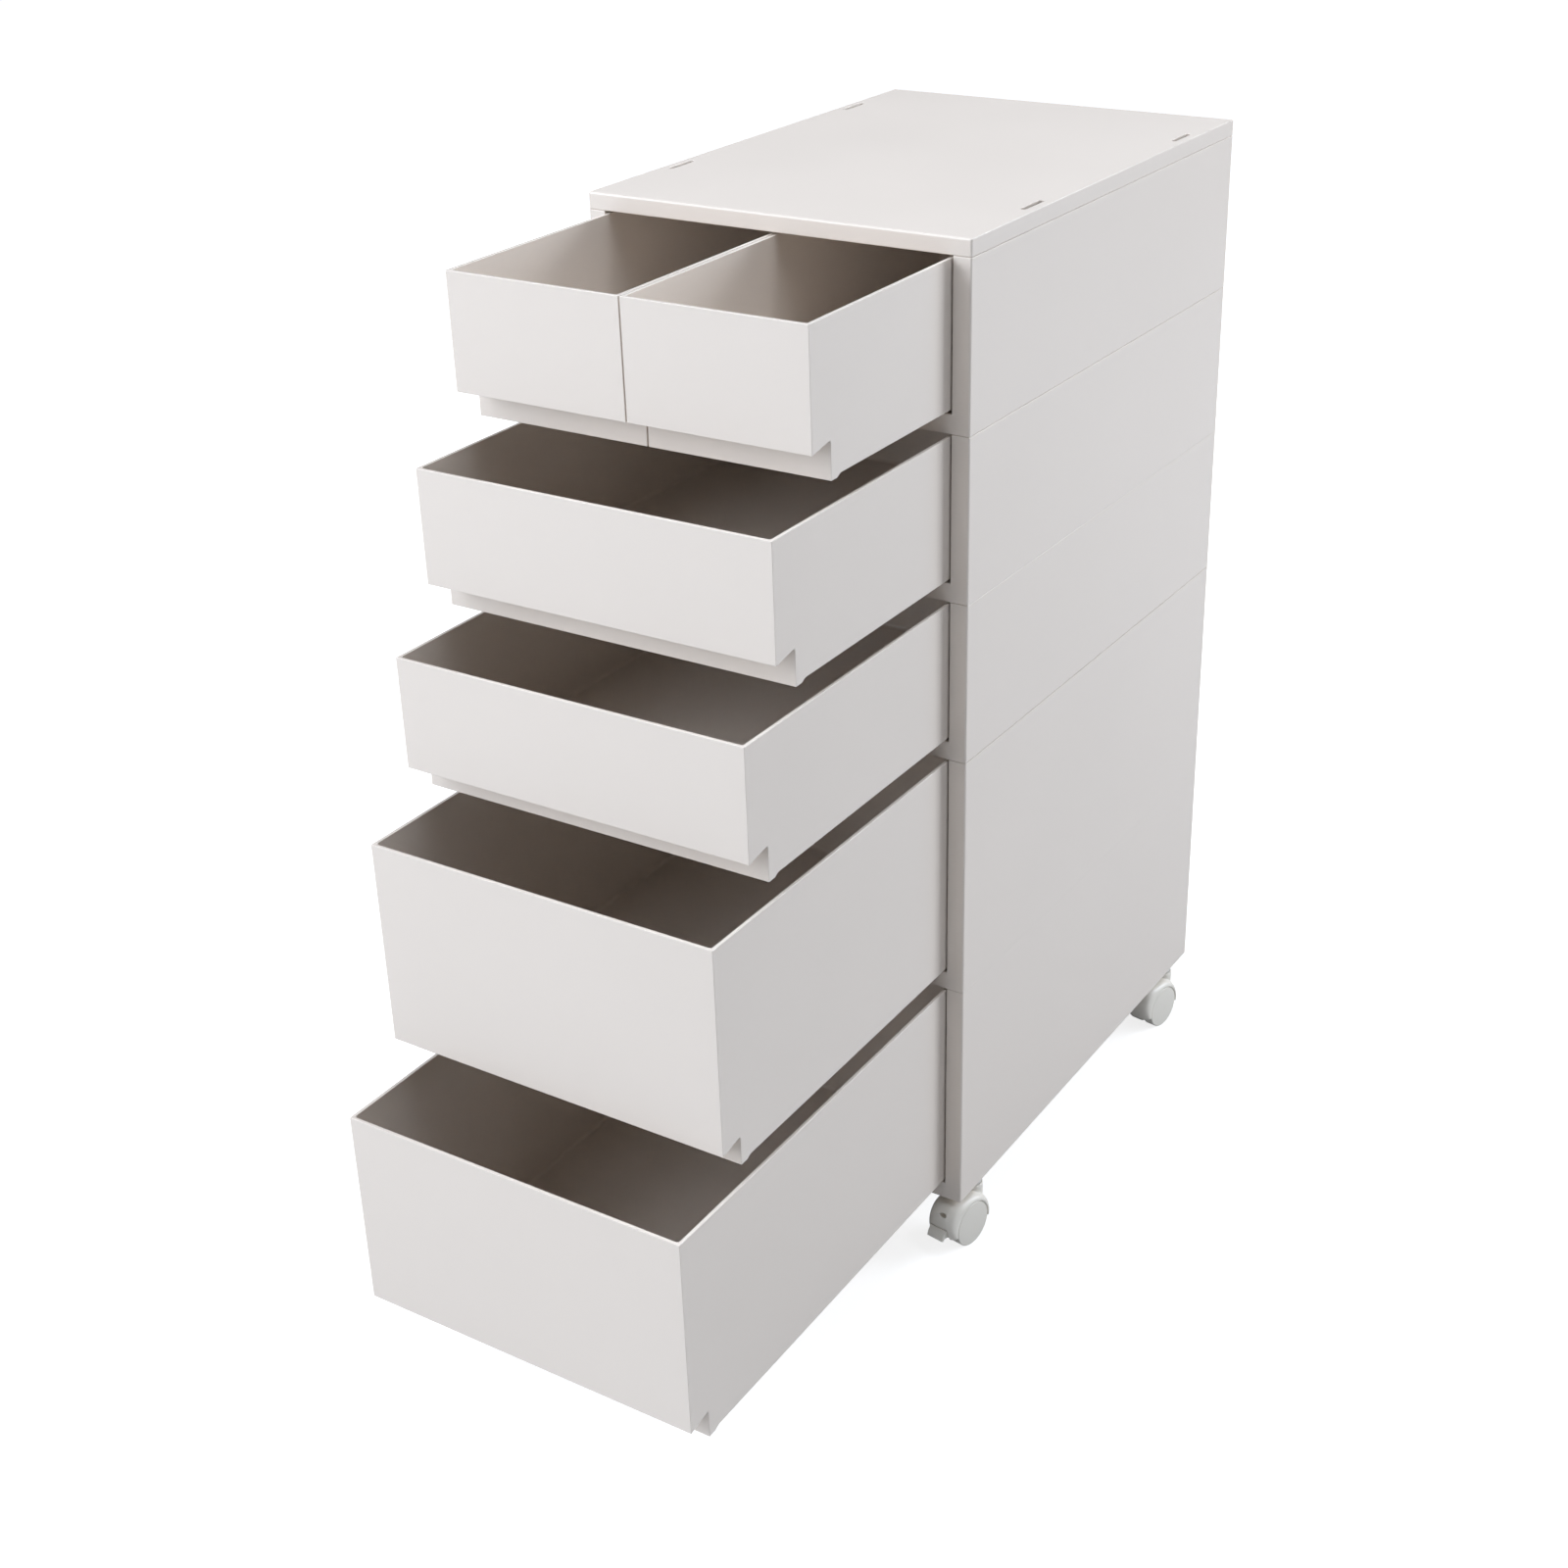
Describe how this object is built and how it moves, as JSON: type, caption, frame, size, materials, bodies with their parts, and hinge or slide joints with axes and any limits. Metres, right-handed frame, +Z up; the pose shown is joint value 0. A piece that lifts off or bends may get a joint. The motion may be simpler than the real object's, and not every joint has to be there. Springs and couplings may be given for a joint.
{
  "type": "drawer tower",
  "caption": "Mobile tower of stacked plastic tray frames with pull-out drawers, finger recesses under the fronts and braked twin-wheel casters.",
  "frame": {"origin": "on the floor, under the middle of the tower and its pulled-out drawers", "axes": "+Z up, -Y the way the drawers come out, +X to the right seen from the front"},
  "size_m": [0.2702, 0.668, 0.6855],
  "materials": {
    "body_plastic": "fine satin",
    "drawer_plastic": "fine satin",
    "caster_plastic": "smooth",
    "wheel_plastic": "smooth",
    "nylon": "satin",
    "steel": "zinc plated"
  },
  "bodies": {
    "cabinet": {"top_board": "body_plastic", "frame_1": "body_plastic", "frame_2": "body_plastic", "frame_3": "body_plastic", "frame_4": "body_plastic", "frame_5": "body_plastic", "front_left_socket": "nylon", "front_left_stem": "steel", "front_right_socket": "nylon", "front_right_stem": "steel", "rear_left_socket": "nylon", "rear_left_stem": "steel", "rear_right_socket": "nylon", "rear_right_stem": "steel"},
    "drawer_1_left": {"drawer_1_left": "drawer_plastic"},
    "drawer_1_right": {"drawer_1_right": "drawer_plastic"},
    "drawer_2": {"drawer_2": "drawer_plastic"},
    "drawer_3": {"drawer_3": "drawer_plastic"},
    "drawer_4": {"drawer_4": "drawer_plastic"},
    "drawer_5": {"drawer_5": "drawer_plastic"},
    "front_left_caster": {"front_left_hood": "caster_plastic", "front_left_axle": "steel", "front_left_brake_pin": "steel"},
    "front_left_roller_left": {"front_left_wheel_left": "wheel_plastic"},
    "front_left_roller_right": {"front_left_wheel_right": "wheel_plastic"},
    "front_left_lever": {"front_left_brake": "caster_plastic"},
    "front_right_caster": {"front_right_hood": "caster_plastic", "front_right_axle": "steel", "front_right_brake_pin": "steel"},
    "front_right_roller_left": {"front_right_wheel_left": "wheel_plastic"},
    "front_right_roller_right": {"front_right_wheel_right": "wheel_plastic"},
    "front_right_lever": {"front_right_brake": "caster_plastic"},
    "rear_left_caster": {"rear_left_hood": "caster_plastic", "rear_left_axle": "steel"},
    "rear_left_roller_left": {"rear_left_wheel_left": "wheel_plastic"},
    "rear_left_roller_right": {"rear_left_wheel_right": "wheel_plastic"},
    "rear_right_caster": {"rear_right_hood": "caster_plastic", "rear_right_axle": "steel"},
    "rear_right_roller_left": {"rear_right_wheel_left": "wheel_plastic"},
    "rear_right_roller_right": {"rear_right_wheel_right": "wheel_plastic"}
  },
  "joints": [
    {"name": "drawer_1_left_slide", "type": "slide", "parent": "cabinet", "child": "drawer_1_left", "axis": [0, -1, 0], "range_m": [-0.14993, 0.16177]},
    {"name": "drawer_1_right_slide", "type": "slide", "parent": "cabinet", "child": "drawer_1_right", "axis": [0, -1, 0], "range_m": [-0.14993, 0.16177]},
    {"name": "drawer_2_slide", "type": "slide", "parent": "cabinet", "child": "drawer_2", "axis": [0, -1, 0], "range_m": [-0.18889, 0.12281]},
    {"name": "drawer_3_slide", "type": "slide", "parent": "cabinet", "child": "drawer_3", "axis": [0, -1, 0], "range_m": [-0.22006, 0.09164]},
    {"name": "drawer_4_slide", "type": "slide", "parent": "cabinet", "child": "drawer_4", "axis": [0, -1, 0], "range_m": [-0.25591, 0.05579]},
    {"name": "drawer_5_slide", "type": "slide", "parent": "cabinet", "child": "drawer_5", "axis": [0, -1, 0], "range_m": [-0.29798, 0.01371]},
    {"name": "front_left_swivel", "type": "hinge", "parent": "cabinet", "child": "front_left_caster", "pos_m": [-0.1233, -0.00701, 0.016], "axis": [0, 0, 1], "continuous": true},
    {"name": "front_left_left_roll", "type": "hinge", "parent": "front_left_caster", "child": "front_left_roller_left", "pos_m": [-0.12122, -0.01883, 0.016], "axis": [0.9848, 0.1736, 0], "continuous": true},
    {"name": "front_left_right_roll", "type": "hinge", "parent": "front_left_caster", "child": "front_left_roller_right", "pos_m": [-0.12122, -0.01883, 0.016], "axis": [0.9848, 0.1736, 0], "continuous": true},
    {"name": "front_left_brake_tilt", "type": "hinge", "parent": "front_left_caster", "child": "front_left_lever", "pos_m": [-0.11784, -0.03796, 0.0177], "axis": [0.9848, 0.1736, 0], "range_deg": [0, 18]},
    {"name": "front_right_swivel", "type": "hinge", "parent": "cabinet", "child": "front_right_caster", "pos_m": [0.1233, -0.00701, 0.016], "axis": [0, 0, 1], "continuous": true},
    {"name": "front_right_left_roll", "type": "hinge", "parent": "front_right_caster", "child": "front_right_roller_left", "pos_m": [0.12122, -0.01883, 0.016], "axis": [0.9848, -0.1736, 0], "continuous": true},
    {"name": "front_right_right_roll", "type": "hinge", "parent": "front_right_caster", "child": "front_right_roller_right", "pos_m": [0.12122, -0.01883, 0.016], "axis": [0.9848, -0.1736, 0], "continuous": true},
    {"name": "front_right_brake_tilt", "type": "hinge", "parent": "front_right_caster", "child": "front_right_lever", "pos_m": [0.11784, -0.03796, 0.0177], "axis": [0.9848, -0.1736, 0], "range_deg": [0, 18]},
    {"name": "rear_left_swivel", "type": "hinge", "parent": "cabinet", "child": "rear_left_caster", "pos_m": [-0.1233, 0.30499, 0.016], "axis": [0, 0, 1], "continuous": true},
    {"name": "rear_left_left_roll", "type": "hinge", "parent": "rear_left_caster", "child": "rear_left_roller_left", "pos_m": [-0.12122, 0.29318, 0.016], "axis": [0.9848, 0.1736, 0], "continuous": true},
    {"name": "rear_left_right_roll", "type": "hinge", "parent": "rear_left_caster", "child": "rear_left_roller_right", "pos_m": [-0.12122, 0.29318, 0.016], "axis": [0.9848, 0.1736, 0], "continuous": true},
    {"name": "rear_right_swivel", "type": "hinge", "parent": "cabinet", "child": "rear_right_caster", "pos_m": [0.1233, 0.30499, 0.016], "axis": [0, 0, 1], "continuous": true},
    {"name": "rear_right_left_roll", "type": "hinge", "parent": "rear_right_caster", "child": "rear_right_roller_left", "pos_m": [0.12122, 0.29318, 0.016], "axis": [0.9848, -0.1736, 0], "continuous": true},
    {"name": "rear_right_right_roll", "type": "hinge", "parent": "rear_right_caster", "child": "rear_right_roller_right", "pos_m": [0.12122, 0.29318, 0.016], "axis": [0.9848, -0.1736, 0], "continuous": true}
  ]
}
